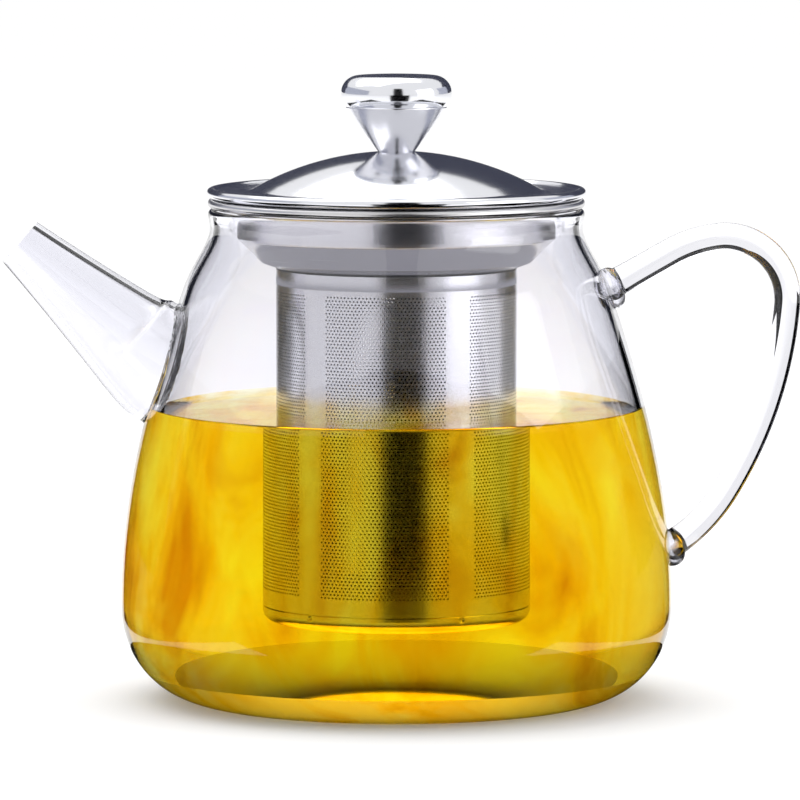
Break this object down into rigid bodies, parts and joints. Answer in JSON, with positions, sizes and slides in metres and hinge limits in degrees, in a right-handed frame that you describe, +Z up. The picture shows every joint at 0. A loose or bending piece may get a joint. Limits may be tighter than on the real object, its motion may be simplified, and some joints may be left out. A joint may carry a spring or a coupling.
{
  "type": "glass teapot",
  "caption": "Glass teapot with a flared spout tube, a bent rod handle, a lift-out perforated steel infuser and a domed steel lid with a flared knob.",
  "frame": {"origin": "centre of the flat foot's underside, on the pot's axis", "axes": "+Z up along the pot's axis, +X towards the handle, -X towards the spout"},
  "size_m": [0.1992, 0.138, 0.1563],
  "materials": {
    "clear_glass": "clear blown borosilicate glass, fire polished",
    "brushed_sheet": "brushed stainless steel sheet",
    "perforated_sheet": "perforated stainless steel sheet with a fine grain",
    "polished_steel": "mirror polished stainless steel",
    "plain_fastener": "plain machined stainless steel"
  },
  "bodies": {
    "pot": {"glass_body": "clear_glass", "spout": "clear_glass", "handle": "clear_glass", "handle_upper_pad": "clear_glass", "handle_lower_bead": "clear_glass"},
    "infuser": {"infuser_collar": "brushed_sheet", "filter_tube": "perforated_sheet", "filter_base": "perforated_sheet"},
    "lid": {"lid_shell": "polished_steel", "lid_skirt": "brushed_sheet", "knob_cap": "polished_steel", "knob_cone": "polished_steel", "knob_insert": "plain_fastener", "knob_screw": "plain_fastener", "knob_washer": "plain_fastener"}
  },
  "joints": [
    {"name": "infuser_lift", "type": "slide", "parent": "pot", "child": "infuser", "axis": [0, 0, 1], "range_m": [0, 0.115]},
    {"name": "lid_lift", "type": "slide", "parent": "infuser", "child": "lid", "axis": [0, 0, 1], "range_m": [0, 0.05]}
  ]
}
